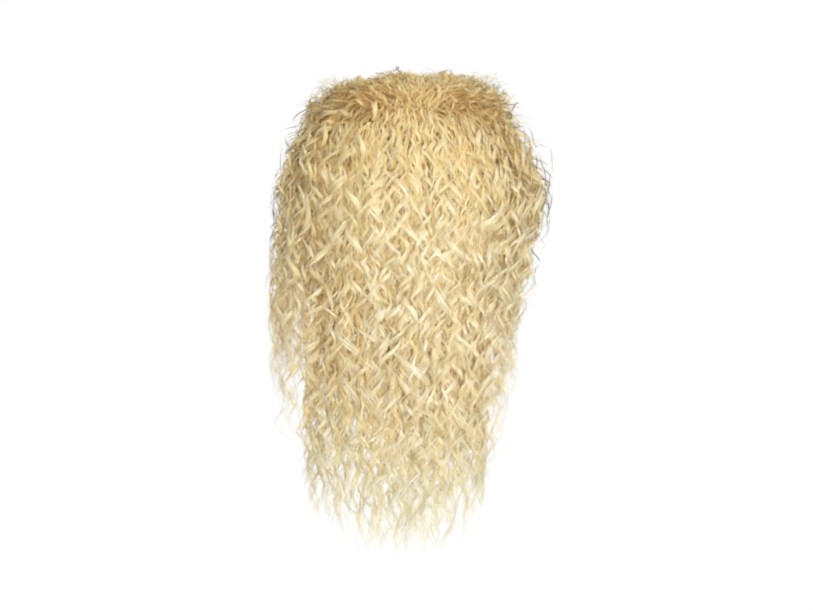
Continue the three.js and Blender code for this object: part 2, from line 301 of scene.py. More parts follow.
def curl(rng, locks, points, kind):
    """Strands of the locks: each lock is a flat bundle that runs round and round its guide, the flat side
    turned away from the guide, with waves that differ in height and length all the way along."""
    each = kind["each"]
    ang, row, s, depth = locks.sample(points, kind["hidden"])
    n = len(ang)
    p = hair_at(ang, row, depth)
    out = unit(hair_at(ang, row, depth + 0.06) - hair_at(ang, row, depth - 0.06))
    run = unit(np.gradient(p, axis=1))
    side = unit(np.cross(out, run))
    out = np.cross(run, side)
    free = smooth(depth, 0.3, 0.9) * smooth(s, 10, 60)
    p = p + out * (MOUNDS.at(p) * free)[..., None] + side * (GATHER.at(p) * free)[..., None]
    lock, strand = (n, 1, 1), (n, each, 1)

    S = s[:, None, :]
    share = S / locks.length[:, None, None]
    pitch = rng.uniform(*kind["pitch"], lock)
    amp = rng.uniform(*kind["steep"], lock) * pitch / (2 * np.pi) * (1 + 0.3 * ripple(rng, S, lock, 50, 150))
    # waves are longer and wider towards the ends
    amp = amp * 0.85 / (1 - 0.36 * share)
    amp = amp * (kind["root_wave"] + (1 - kind["root_wave"]) * smooth(S, 4, kind["straight"]))
    amp = amp * (1 - kind["tips"] * rng.uniform(0.3, 1, lock) * smooth(share, 0.7, 1.0))
    phase = rng.uniform(0, 6.283, lock) + 2 * np.pi * S * (1 - 0.18 * share) / pitch + 0.9 * ripple(rng, S, lock, 60, 170)
    hand = np.where(rng.random(lock) < 0.5, -1.0, 1.0)
    flat = rng.uniform(*kind["flat"], lock)
    sway = kind["sway"] * ripple(rng, S, lock, 60, 170) * smooth(S, 10, 90)

    def place(amp, phase):
        return amp * np.cos(phase) + sway, hand * flat * amp * np.sin(phase)

    def put(du, dv):
        return p[:, None] + side[:, None] * du[..., None] + out[:, None] * dv[..., None]

    # the lock's own frame: along it, away from its guide, and across its flat side
    middle = put(*place(amp, phase))
    along = unit(np.gradient(middle, axis=2))
    steep = (2 * np.pi * amp / pitch)[..., None]
    away = (side[:, None] * (flat * np.cos(phase))[..., None] + out[:, None] * (hand * np.sin(phase))[..., None]) * steep
    tilt = away + out[:, None] * kind["shine"]
    away = away + out[:, None] * kind["face"]
    away = unit(away - along * (away * along).sum(-1, keepdims=True))
    across = np.cross(along, away)

    # strands lie side by side in the lock, each a little ahead or behind, and stray towards their ends
    u = ((np.stack([rng.permutation(each) for _ in range(n)]) + rng.uniform(0, 1, (n, each))) / each - 0.5)[..., None]
    w = kind["width"] * rng.uniform(0.65, 1.35, lock)
    open_up = (0.5 + 0.5 * smooth(S, 0, 35)) * (1 + kind["fan"] * smooth(share, 0.78, 1))
    # the first strip of a lock is its core: many hairs as one flat band, which the others lie on
    core = np.zeros((1, each, 1))
    core[:, 0] = kind["core"] > 0
    own = 1 - core
    u = u * own
    stray = kind["loose"] * (0.3 + 0.7 * share) * own
    turn = phase + own * (rng.uniform(-0.18, 0.18, strand) + 0.4 * share * ripple(rng, S, strand, 60, 160))
    du, dv = place(amp * (1 + own * rng.uniform(-0.12, 0.12, strand)), turn)
    line = put(du + stray * ripple(rng, S, strand, 40, 120), dv + 0.6 * stray * ripple(rng, S, strand, 40, 120))
    fine = kind["frizz"] * own
    line = line + across * (u * w * open_up + fine * ripple(rng, S, strand, 7, 16))[..., None]
    line = line + away * ((rng.normal(size=strand) * kind["body"] * own - 0.4 * core) * open_up
                          + fine * ripple(rng, S, strand, 7, 16))[..., None]
    far = np.maximum(np.abs(line[..., 0]) - 141, 0)
    line[..., 0] -= 0.65 * far * np.sign(line[..., 0])
    line[..., 2] -= 0.6 * np.maximum(line[..., 2] - 32, 0)
    outs = away + across * (0.4 * u)[..., None]
    c = (tilt * away).sum(-1, keepdims=True)
    tilt = unit(tilt + away * (np.abs(c) - c + 1.2)) + across * (0.4 * u)[..., None]
    # strands differ in length: each is drawn only to its own end
    cut = rng.uniform(*kind["cut"], strand) * own + 0.93 * core
    k = np.linspace(0, 1, points)[None, None] * cut * (points - 1)
    lo = np.clip(np.floor(k).astype(int), 0, points - 2)
    f = (k - lo)[..., None]
    ii, jj = np.arange(n)[:, None, None], np.arange(each)[None, :, None]
    line = line[ii, jj, lo] * (1 - f) + line[ii, jj, lo + 1] * f
    outs = outs[ii, jj, lo] * (1 - f) + outs[ii, jj, lo + 1] * f
    tilt = tilt[ii, jj, lo] * (1 - f) + tilt[ii, jj, lo + 1] * f
    deep = np.broadcast_to(depth[:, None], line.shape[:3])[ii, jj, lo]
    # painted light: how far each point lies on the outside of its wave; the colour turns the outside into a painted
    # highlight and the inside into painted shade
    painted_wave_light = np.broadcast_to(hand * np.sin(turn) * np.clip(steep[..., 0], 0, 1), line.shape[:3])[ii, jj, lo]
    m = n * each
    lock_id = np.repeat(rng.random(n), each)
    lo, hi = kind["thick"]
    thick = lo * (hi / lo) ** rng.random((n, each)) * own[..., 0] + kind["core"] * w[..., 0] * core[..., 0]
    is_core = np.broadcast_to(core[..., 0] > 0, (n, each)).reshape(m)
    return (line.reshape(m, points, 3), outs.reshape(m, points, 3), tilt.reshape(m, points, 3),
            np.broadcast_to(np.linspace(0, 1, points), (m, points)), deep.reshape(m, points), painted_wave_light.reshape(m, points),
            lock_id, thick.reshape(m), is_core)


class Ribbons:
    """Collects strands as narrow strips, each with its own place on the map of the piece."""

    ROUND = math.radians(14)  # how far the shading turns across a strip, as on a round hair

    def __init__(self, rng):
        self.rng = rng
        self.parts = []

    def add(self, lines, outs, tilt, share, deep, painted_wave_light, lock_id, thick, is_core, shade, roll, taper, pale):
        rng = self.rng
        n, m = lines.shape[:2]
        run = unit(np.gradient(lines, axis=1))
        face = unit(outs - run * (outs * run).sum(-1, keepdims=True))
        side = np.cross(run, face)
        t = rng.uniform(-roll, roll, (n, 1, 1)) * ~is_core[:, None, None]
        s2 = side * np.cos(t) + face * np.sin(t)
        lit = unit(tilt - run * (tilt * run).sum(-1, keepdims=True))
        over = np.cross(run, lit)
        f2, o2 = lit * np.cos(t) - over * np.sin(t), over * np.cos(t) + lit * np.sin(t)
        begin = np.where(is_core, 0.55, taper[0])[:, None]
        point = np.where(is_core, 0.04, taper[1])[:, None]
        w = thick[:, None] * (0.6 + 0.4 * smooth(share, 0, 0.08)) * (1 - (1 - point) * smooth(share, begin, 1.0))
        half = s2 * (w[..., None] * 0.5)
        co = np.stack([lines - half, lines + half], 2)  # n, m, 2, 3
        cr, sr = math.cos(self.ROUND), math.sin(self.ROUND)
        no = np.stack([f2 * cr - o2 * sr, f2 * cr + o2 * sr], 2)
        tone = np.where(is_core, 0.5, rng.uniform(*shade, n))
        col = np.empty((n, m, 2, 4))
        col[..., 0] = pale * share[..., None]
        # painted highlight and shade: the outside of each wave is painted paler, as where it catches the light, and its
        # inside the stronger gold, as where it turns into shade; flyaways get none
        wave = np.where(tone > 0.2, 0.48, 0.0)[:, None] * painted_wave_light
        col[..., 1] = np.clip(tone[:, None] + wave, np.minimum(tone, 0.25)[:, None], 1)[..., None]
        # depth in the mass, which the material turns into painted shade
        col[..., 2] = np.clip(deep, 0, 1)[..., None]
        col[..., 3] = lock_id[:, None, None]
        # where on the hair a point is, in mm: across the strip and along it, from a start of its own
        grain = np.empty((n, m, 2, 3))
        grain[..., 0] = rng.uniform(0, 500, (n, 1, 1)) + np.stack([-w / 2, w / 2], 2)
        grain[..., 1] = (rng.uniform(0, 500, (n, 1)) + arc_length(lines))[..., None]
        grain[..., 2] = 0.0
        self.parts.append((co.reshape(-1, 3), no.reshape(-1, 3), col.reshape(-1, 4), grain.reshape(-1, 3), n, m))

    def triangles(self):
        return sum(n * (m - 1) * 2 for *_, n, m in self.parts)

    def build(self, name, material):
        strips = sum(n for *_, n, m in self.parts)
        rows = max(1, int(math.sqrt(strips / 12)))
        cols = math.ceil(strips / rows)
        co, no, col, grain = (np.concatenate([q[i] for q in self.parts]) for i in range(4))
        quads, uvs = [], []
        base, first = 0, 0
        for *_, n, m in self.parts:
            k = base + np.arange(n * m * 2).reshape(n, m, 2)
            q = np.stack([k[:, :-1, 0], k[:, :-1, 1], k[:, 1:, 1], k[:, 1:, 0]], -1)
            cell = first + np.arange(n)
            u0, v0 = (cell % cols) / cols, (cell // cols) / rows
            u = np.stack([u0 + 0.15 / cols, u0 + 0.85 / cols], -1)[:, None, :]
            v = v0[:, None] + (0.02 + 0.96 * np.linspace(0, 1, m))[None] / rows
            uu = np.broadcast_to(u, (n, m, 2))
            vv = np.broadcast_to(v[..., None], (n, m, 2))
            uv = np.stack([uu, vv], -1)
            uvs.append(np.stack([uv[:, :-1, 0], uv[:, :-1, 1], uv[:, 1:, 1], uv[:, 1:, 0]], 2).reshape(-1, 2))
            quads.append(q.reshape(-1, 4))
            base += n * m * 2
            first += n
        return mesh_piece(name, co * MM, np.concatenate(quads), material, np.concatenate(uvs), no, col, grain)


def mesh_piece(name, co, quads, material, uv=None, normals=None, col=None, grain=None):
    me = bpy.data.meshes.new(name)
    nq = len(quads)
    me.vertices.add(len(co))
    me.vertices.foreach_set("co", np.ascontiguousarray(co, np.float32).ravel())
    me.loops.add(nq * 4)
    me.loops.foreach_set("vertex_index", np.ascontiguousarray(quads, np.int32).ravel())
    me.polygons.add(nq)
    me.polygons.foreach_set("loop_start", np.arange(0, nq * 4, 4, dtype=np.int32))
    me.polygons.foreach_set("loop_total", np.full(nq, 4, np.int32))
    me.polygons.foreach_set("use_smooth", np.ones(nq, bool))
    me.update(calc_edges=True)
    if uv is not None:
        layer = me.uv_layers.new(name="OFBake")
        layer.data.foreach_set("uv", np.ascontiguousarray(uv, np.float32).ravel())
    if col is not None:
        a = me.attributes.new("strand", "FLOAT_COLOR", "POINT")
        a.data.foreach_set("color", np.ascontiguousarray(col, np.float32).ravel())
    if grain is not None:
        a = me.attributes.new("grain", "FLOAT_VECTOR", "POINT")
        a.data.foreach_set("vector", np.ascontiguousarray(grain, np.float32).ravel())
    if normals is not None:
        me.normals_split_custom_set_from_vertices(unit(normals).astype(np.float32))
    me.materials.append(material)
    ob = bpy.data.objects.new(name, me)
    bpy.context.collection.objects.link(ob)
    return ob


# ------------------------------------------------------------------ finishes
def rgb(*v):
    """A colour given as it looks (0-255), as the shader's own numbers."""
    lin = [(c / 255 / 12.92) if c / 255 <= 0.04045 else ((c / 255 + 0.055) / 1.055) ** 2.4 for c in v]
    return (*lin, 1.0)


def hair_material(name, roots, middle, ends, depth_shade_gold, rough=0.32, gloss=0.8):
    """Glossy synthetic hair: gold at the roots, paler to the ends, each strand and lock its own tone, with painted
    shade deep in the mass and on the insides of waves and a painted highlight on their outsides.
    """
    mat = bpy.data.materials.new(name)
    mat.use_nodes = True
    nt = mat.node_tree
    nt.nodes.clear()
    new = lambda kind, **kw: _node(nt, kind, **kw)

    def ramp_of(socket, *stops):
        ramp = new("ShaderNodeValToRGB")
        el = ramp.color_ramp.elements
        for i, (at, colour) in enumerate(stops):
            e = el[i] if i < 2 else el.new(at)
            e.position, e.color = at, (*colour[:3], 1)
        nt.links.new(socket, ramp.inputs[0])
        return ramp.outputs[0]

    def times(a, b):
        mix = new("ShaderNodeMix", data_type="RGBA", blend_type="MULTIPLY")
        mix.inputs[0].default_value = 1.0
        nt.links.new(a, mix.inputs[6])
        nt.links.new(b, mix.inputs[7])
        return mix.outputs[2]

    out = new("ShaderNodeOutputMaterial")
    bsdf = new("ShaderNodeBsdfPrincipled")
    nt.links.new(bsdf.outputs[0], out.inputs[0])
    att = new("ShaderNodeAttribute", attribute_name="strand")
    sep = new("ShaderNodeSeparateColor")
    nt.links.new(att.outputs["Color"], sep.inputs[0])
    colour = ramp_of(sep.outputs[0], (0.0, roots), (1.0, ends), (0.4, middle))
    # each strand is a little lighter or darker than the next, each lock too; the strand's tone also carries the painted
    # highlight and shade of its waves, and the painted near-black shade of the flyaways
    colour = times(colour, ramp_of(sep.outputs[1], (0.0, DARK_TONE_AND_PAINTED_SHADE), (0.8, WHITE), (0.25, TONE_LOW)))
    colour = times(colour, ramp_of(att.outputs["Alpha"], (0.0, LOCK_LOW), (1.0, WHITE)))
    # painted shade: hair deep in the mass is painted the stronger gold, as the shade between the locks
    deep = new("ShaderNodeMix", data_type="RGBA", blend_type="MIX")
    far = new("ShaderNodeMapRange")
    for i, v in zip((1, 2, 3, 4), (0.2, 1.0, 0.8, 0.0)):
        far.inputs[i].default_value = v
    nt.links.new(sep.outputs[2], far.inputs[0])
    nt.links.new(far.outputs[0], deep.inputs[0])
    nt.links.new(colour, deep.inputs[6])
    deep.inputs[7].default_value = depth_shade_gold
    # single hairs: fine streaks along each strip
    grain = new("ShaderNodeAttribute", attribute_name="grain")
    stretch = new("ShaderNodeMapping")
    stretch.inputs["Scale"].default_value = (1.4, 0.03, 1.0)
    nt.links.new(grain.outputs["Vector"], stretch.inputs[0])
    noise = new("ShaderNodeTexNoise")
    noise.inputs["Scale"].default_value = 1.0
    noise.inputs["Detail"].default_value = 3.0
    nt.links.new(stretch.outputs[0], noise.inputs["Vector"])
    colour = times(deep.outputs[2], ramp_of(noise.outputs[0], (0.32, STREAK_LOW), (0.66, WHITE)))
    nt.links.new(colour, bsdf.inputs["Base Color"])
    bump = new("ShaderNodeBump")
    bump.inputs["Strength"].default_value = 0.35
    bump.inputs["Distance"].default_value = 0.0003
    nt.links.new(noise.outputs[0], bump.inputs["Height"])
    nt.links.new(bump.outputs[0], bsdf.inputs["Normal"])
    bsdf.inputs["Roughness"].default_value = rough
    bsdf.inputs["Specular IOR Level"].default_value = gloss
    return mat


WHITE = (1.0, 1.0, 1.0)
# the darkest tone: a few strands are simply darker, and the flyaways are painted near-black with it, as hairs in shade
# at the outline
DARK_TONE_AND_PAINTED_SHADE = (0.22, 0.21, 0.19)
TONE_LOW = (0.955, 0.905, 0.745)
LOCK_LOW = (0.97, 0.93, 0.79)
STREAK_LOW = (0.99, 0.975, 0.91)


def _node(nt, kind, **kw):
    n = nt.nodes.new(kind)
    for k, v in kw.items():
        setattr(n, k, v)
    return n


# the fourth colour of each is painted shade: the stronger gold of hair deep in the mass
HAIR = hair_material("blonde_hair", rgb(248, 222, 154), rgb(250, 238, 196), rgb(252, 244, 216), rgb(250, 220, 144))
SOFT = hair_material("golden_hair", rgb(250, 229, 168), rgb(251, 237, 190), rgb(252, 244, 212), rgb(252, 235, 180),
                     rough=0.5, gloss=0.4)
ENDS = hair_material("pale_hair", rgb(237, 227, 184), rgb(239, 234, 210), rgb(242, 239, 224), rgb(237, 225, 180))


def cap_material():
    """Straw-coloured elastic net: a fine diamond mesh, with painted shade in its holes."""
    mat = bpy.data.materials.new("cap_net")
    mat.use_nodes = True
    nt = mat.node_tree
    bsdf = nt.nodes["Principled BSDF"]
    new = lambda kind, **kw: _node(nt, kind, **kw)
    uv = new("ShaderNodeUVMap", uv_map="Net")
    waves = []
    for turn in (45, -45):
        mp = new("ShaderNodeMapping")
        mp.inputs["Rotation"].default_value[2] = math.radians(turn)
        nt.links.new(uv.outputs[0], mp.inputs[0])
        w = new("ShaderNodeTexWave", wave_type="BANDS")
        w.inputs["Scale"].default_value = 0.13
        nt.links.new(mp.outputs[0], w.inputs[0])
        waves.append(w)
    top = new("ShaderNodeMath", operation="MAXIMUM")
    nt.links.new(waves[0].outputs["Fac"], top.inputs[0])
    nt.links.new(waves[1].outputs["Fac"], top.inputs[1])
    ramp = new("ShaderNodeValToRGB")
    # painted shade: the holes of the net are brown, as the shade seen through them; the threads are straw
    ramp.color_ramp.elements[0].position = 0.45
    ramp.color_ramp.elements[0].color = rgb(150, 116, 66)
    ramp.color_ramp.elements[1].position = 0.8
    ramp.color_ramp.elements[1].color = rgb(222, 196, 148)
    nt.links.new(top.outputs[0], ramp.inputs[0])
    nt.links.new(ramp.outputs[0], bsdf.inputs["Base Color"])
    bump = new("ShaderNodeBump")
    bump.inputs["Strength"].default_value = 0.5
    bump.inputs["Distance"].default_value = 0.0006
    nt.links.new(top.outputs[0], bump.inputs["Height"])
    nt.links.new(bump.outputs[0], bsdf.inputs["Normal"])
    bsdf.inputs["Roughness"].default_value = 0.85
    bsdf.inputs["Specular IOR Level"].default_value = 0.2
    return mat


# ------------------------------------------------------------------ the masses of hair
HEAD = Head()


def dress(name, node, material, seed, groups):
    """One mass of hair: locks of strands, broad locks under them, flyaways over them."""
    rng = np.random.default_rng(SEED * 1000 + seed)
    rb = Ribbons(rng)
    for g in groups:
        kind = {**KINDS[g["kind"]], **g}
        if "reach" in g:
            sewn = HEAD.round_whorl(rng, g["locks"], *g["reach"], kind["even"], kind["toward"])
        else:
            sewn = HEAD.in_sector(rng, g["locks"], *g["sector"], *g["depth"])
        locks = Locks(rng, sewn, g["length"], kind)
        # locks of like length together, so that short ones have no more points than they need
        for part in np.array_split(np.argsort(locks.length), 4):
            some = locks.some(part)
            points = max(6, int(kind["density"] * some.length.max() * (1 - kind["hidden"]) / (1 - 0.4 * kind["hidden"])))
            rb.add(*curl(rng, some, points, kind), kind["shade"], kind["roll"], kind["taper"], kind["pale"])
    ob = rb.build(name, material)
    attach(ob, "root")
    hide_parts(node)
    print("hair", name, rb.triangles())
    return ob


# What kinds of lock there are: strands in each, points per mm, height and length of its waves, how wide
# and deep it is, how far single strands stray from it (all mm), and how thick the strands are.
LOCK = dict(each=6, density=0.32, steep=(0.75, 1.25), pitch=(19, 31), flat=(0.4, 0.95), face=1.3, shine=0.75, sway=6.0, width=3.4,
            body=0.35, loose=1.3, frizz=0.12, straight=50.0, root_wave=0.25, tips=0.4, fan=0.2, thick=(0.35, 0.75), core=0.5,
            shade=(0.2, 1.0), roll=0.35, cut=(0.84, 1.0), cross=0.3, lift=(0.94, 1.06), under=0.0, hem=(-0.5, 0.1),
            layers=(0.9, 1.0), flick=(0.0, 0.04), root=(0.0, 0.0), even=0.5, toward=(0, 360), taper=(0.8, 0.3), hidden=0.0,
            pale=1.0)
KINDS = {
    "lock": LOCK,
    "ringlet": {**LOCK, **dict(each=8, density=0.3, width=4.5, steep=(0.95, 1.5), pitch=(24, 38), flat=(0.6, 1.0), loose=1.2, shade=(0.4, 1.0),
                               lift=(1.0, 1.08), cut=(0.9, 1.0), tips=0.1)},
    "deep": {**LOCK, **dict(each=3, density=0.25, width=5.0, thick=(0.9, 1.8), shade=(0.2, 0.8), lift=(0.88, 1.0))},
    "broad": {**LOCK, **dict(each=1, density=0.15, steep=(0.15, 0.4), pitch=(24, 36), width=5.0, body=2.0, frizz=0.0, sway=2.0,
                             thick=(2.5, 4.5), core=0.0, shade=(0.3, 0.8), lift=(0.9, 1.0), under=0.17, layers=(0.8, 0.95),
                             face=1.5, shine=1.5, taper=(0.5, 0.05))},
    "tuft": {**LOCK, **dict(each=5, core=0.0, density=0.4, pitch=(14, 22), steep=(0.6, 1.2), width=6.0, body=1.2, loose=3.5, straight=15.0,
                            root_wave=0.5, thick=(0.35, 0.6), shade=(0.1, 0.8), lift=(1.0, 1.06), flick=(0.1, 0.4), root=(0.5, 0.8),
                            cross=0.9)},
    "free": {**LOCK, **dict(each=3, core=0.0, width=12.0, body=2.0, loose=4.0, sway=6.0, thick=(0.3, 0.65), shade=(0.15, 1.0))},
    # painted shade: flyaways are painted dark, as hairs in shade
    "stray": {**LOCK, **dict(each=1, core=0.0, steep=(0.5, 1.3), sway=6.0, width=6.0, body=2.0, loose=4.0, frizz=0.2, shade=(0.1, 0.2),
                             straight=20.0, thick=(0.45, 0.8), lift=(1.03, 1.12), layers=(0.6, 1.0), flick=(0.0, 0.2))},
}
CROWN = dict(each=5, density=0.33, pitch=(13, 21), steep=(0.7, 1.15), straight=15, root_wave=0.7, thick=(0.32, 0.65), width=5.0,
             loose=2.6, core=0.35, shade=(0.55, 0.95), shine=2.0, roll=0.15, pale=0.6)
# the first curls under the whorl
CURL = {**CROWN, **dict(each=6, pitch=(17, 27), steep=(0.85, 1.3), width=3.8, loose=1.6, core=0.5, shade=(0.3, 1.0), shine=0.75, roll=0.35,
                        thick=(0.35, 0.75), pale=1.0)}

dress("crown_hair", "crown_hair", SOFT, 1, [
    dict(kind="broad", locks=160, reach=(0, 190), toward=(180, 360), length=(50, 90), under=0.6, cross=0.6, thick=(5.0, 8.0)),
    dict(kind="broad", locks=80, reach=(0, 80), toward=(0, 180), length=(50, 80), under=0.6, cross=0.6, thick=(5.0, 8.0)),
    dict(kind="broad", locks=170, reach=(0, 190), toward=(180, 360), length=(60, 130), under=0.16, cross=0.9, thick=(4.0, 6.5), even=0.6,
         root=(0.0, 0.4)),
    dict(kind="broad", locks=80, reach=(0, 80), toward=(0, 180), length=(50, 90), under=0.16, cross=0.9, thick=(4.0, 6.5), even=0.6,
         root=(0.0, 0.4)),
    dict(kind="broad", locks=230, reach=(0, 180), toward=(158, 382), length=(60, 130), under=0.05, cross=1.0, thick=(2.0, 3.6), even=0.8,
         root=(0.3, 0.7), pitch=(13, 22), steep=(0.6, 1.0), density=0.24, pale=0.5),
    dict(kind="broad", locks=140, reach=(0, 180), toward=(0, 180), length=(60, 130), under=0.05, cross=1.0, thick=(2.0, 3.6), even=0.8,
         root=(0.3, 0.7), pitch=(13, 22), steep=(0.6, 1.0), density=0.24, pale=0.2, shade=(0.22, 0.5)),
    dict(kind="broad", locks=320, reach=(40, 190), length=(40, 90), pale=0.5, under=0.0, cross=1.3, thick=(0.8, 1.5), even=0.8, root=(0.6, 0.9),
         pitch=(11, 18), steep=(0.5, 1.0), density=0.3, width=10.0),
    dict(kind="broad", locks=160, reach=(20, 110), toward=(205, 340), length=(80, 150), under=0.03, cross=0.9, thick=(2.0, 4.0)),
    dict(kind="lock", locks=44, reach=(50, 190), length=(60, 120), cross=0.6, **CROWN),
    dict(kind="lock", locks=40, reach=(4, 75), even=0.8, toward=(205, 340), length=(100, 180), cross=0.9, lift=(0.96, 1.04), **CROWN),
])
dress("crown_hair_over", "crown_hair", SOFT, 8, [
    dict(kind="broad", locks=120, reach=(0, 14), toward=(0, 180), length=(14, 30), under=0.0, cross=0.6, thick=(0.6, 1.2), root=(0.85, 1.0),
         lift=(0.97, 1.03), pitch=(10, 16), steep=(0.6, 1.1), density=0.5, width=8.0, shade=(0.55, 0.9), shine=2.2, roll=0.2, taper=(0.6, 0.2), pale=0.4),
    dict(kind="broad", locks=480, reach=(0, 52), toward=(158, 382), even=0.6, length=(25, 55), under=0.0, cross=0.6, thick=(0.7, 1.4), root=(0.85, 1.0),
         lift=(0.96, 1.03), pitch=(11, 18), steep=(0.6, 1.1), density=0.36, width=8.0, shade=(0.55, 0.9), shine=2.2, roll=0.2, taper=(0.6, 0.2), pale=0.3),
    dict(kind="broad", locks=260, reach=(40, 110), toward=(180, 360), even=0.6, length=(30, 60), under=0.0, cross=0.8, thick=(0.7, 1.4),
         root=(0.8, 1.0), lift=(0.96, 1.04), pitch=(11, 18), steep=(0.6, 1.1), density=0.36, width=8.0, shade=(0.55, 0.9), shine=2.2, roll=0.2, taper=(0.6, 0.2),
         pale=0.4),
    dict(kind="lock", locks=24, reach=(12, 75), toward=(160, 212), length=(45, 90), cross=0.7, lift=(1.0, 1.07), root=(0.7, 1.0), **CROWN),
    dict(kind="lock", locks=24, reach=(12, 75), toward=(328, 380), length=(45, 90), cross=0.7, lift=(1.0, 1.07), root=(0.7, 1.0), **CROWN),
    dict(kind="lock", locks=36, reach=(0, 45), even=1.0, length=(35, 80), cross=1.0, lift=(0.97, 1.04), root=(0.7, 1.0), **CROWN),
    dict(kind="lock", locks=58, reach=(2, 80), toward=(150, 390), even=0.8, length=(50, 120), cross=1.0, lift=(0.98, 1.08), root=(0.4, 0.8), **CROWN),
    dict(kind="lock", locks=34, reach=(14, 85), toward=(-4, 184), even=0.8, length=(50, 120), cross=0.8, lift=(1.0, 1.1), root=(0.5, 0.9), **CURL),
    dict(kind="lock", locks=40, reach=(4, 75), even=0.8, toward=(205, 340), length=(100, 180), cross=0.9, lift=(1.0, 1.1), **CROWN),
    dict(kind="free", locks=150, reach=(0, 150), even=0.8, length=(40, 100), cross=1.3, pitch=(12, 22), lift=(0.98, 1.06), root_wave=0.6,
         root=(0.2, 0.8), shade=(0.3, 1.0), steep=(0.45, 0.9), shine=0.8, roll=0.2),
    dict(kind="stray", locks=100, reach=(0, 170), length=(40, 110), lift=(1.0, 1.12), pitch=(14, 26)),
    # painted shade: these flyaways over the crown are painted near-black, as hairs in shade
    dict(kind="stray", locks=26, reach=(60, 150), toward=(195, 345), length=(30, 75), lift=(1.04, 1.16), flick=(0.05, 0.35), pitch=(12, 20),
         thick=(0.7, 1.1), shade=(0.0, 0.08)),
    dict(kind="tuft", locks=9, reach=(55, 85), toward=(272, 286), length=(30, 50), flick=(0.3, 0.55)),
    dict(kind="tuft", locks=8, reach=(55, 85), toward=(256, 269), length=(30, 50), flick=(0.15, 0.35)),
    dict(kind="tuft", locks=30, reach=(40, 150), toward=(195, 350), length=(40, 80)),
    dict(kind="tuft", locks=22, reach=(50, 110), toward=(208, 250), length=(40, 75), flick=(0.4, 0.75), shade=(0.0, 0.6)),
    dict(kind="tuft", locks=18, reach=(50, 110), toward=(296, 330), length=(40, 75), flick=(0.4, 0.75), shade=(0.0, 0.6)),
    dict(kind="tuft", locks=14, reach=(40, 110), toward=(318, 352), length=(40, 75), flick=(0.3, 0.6), shade=(0.0, 0.6)),
    dict(kind="tuft", locks=12, reach=(60, 130), toward=(186, 214), length=(40, 75), flick=(0.3, 0.6), shade=(0.0, 0.6)),
    dict(kind="tuft", locks=16, reach=(60, 190), toward=(0, 360), length=(40, 90)),
])
dress("back_hair", "back_hair", HAIR, 2, [
    dict(kind="lock", locks=48, sector=(36, 144), depth=(0.55, 0.9), length=(240, 345), density=0.27),
    dict(kind="deep", locks=44, sector=(36, 144), depth=(0.3, 0.8), length=(270, 345)),
    dict(kind="broad", locks=170, sector=(37, 143), depth=(0.75, 0.98), length=(160, 310)),
    dict(kind="broad", locks=130, sector=(37, 143), depth=(0.2, 0.8), length=(240, 330), under=0.3, steep=(0.6, 1.0), density=0.22,
         thick=(1.4, 2.6), straight=12, root_wave=0.7),
])
dress("back_hair_over", "back_hair", HAIR, 3, [
    dict(kind="lock", locks=96, sector=(36, 144), depth=(0.8, 1.0), length=(110, 340), cross=0.8, straight=15, root_wave=0.6),
    dict(kind="free", locks=44, sector=(34, 146), depth=(0.75, 1.0), length=(110, 330), cross=0.8, straight=15, root_wave=0.6),
])
dress("back_hair_curls", "back_hair", HAIR, 9, [
    dict(kind="ringlet", locks=62, sector=(36, 144), depth=(0.7, 0.97), length=(110, 345), cross=0.8, straight=15, root_wave=0.6),
    dict(kind="stray", locks=30, sector=(28, 52), depth=(0.6, 1.0), length=(120, 330)),
    dict(kind="stray", locks=30, sector=(128, 152), depth=(0.6, 1.0), length=(120, 330)),
])
dress("long_tail", "long_tail", ENDS, 4, [
    dict(kind="lock", locks=72, sector=(37, 143), depth=(0.14, 0.5), length=(340, 400), pitch=(22, 34), steep=(0.5, 1.1),
         fan=0.6, tips=0.6, cut=(0.88, 1.0), layers=(0.95, 1.01), hem=(-0.4, 0.25), hidden=0.5),
    dict(kind="ringlet", locks=37, sector=(36, 144), depth=(0.14, 0.5), length=(300, 400), layers=(0.9, 1.0), fan=0.5, tips=0.5, hidden=0.5),
    dict(kind="deep", locks=26, sector=(38, 142), depth=(0.02, 0.2), length=(230, 310), straight=12, root_wave=0.8),
    dict(kind="broad", locks=90, sector=(38, 142), depth=(0.02, 0.2), length=(220, 310), steep=(0.7, 1.1), density=0.2,
         thick=(1.4, 2.6), straight=12, root_wave=0.7),
    dict(kind="free", locks=50, sector=(36, 144), depth=(0.12, 0.4), length=(300, 400), lift=(0.9, 1.2), layers=(0.95, 1.02), hem=(-0.5, 0.35),
         hidden=0.5),
])
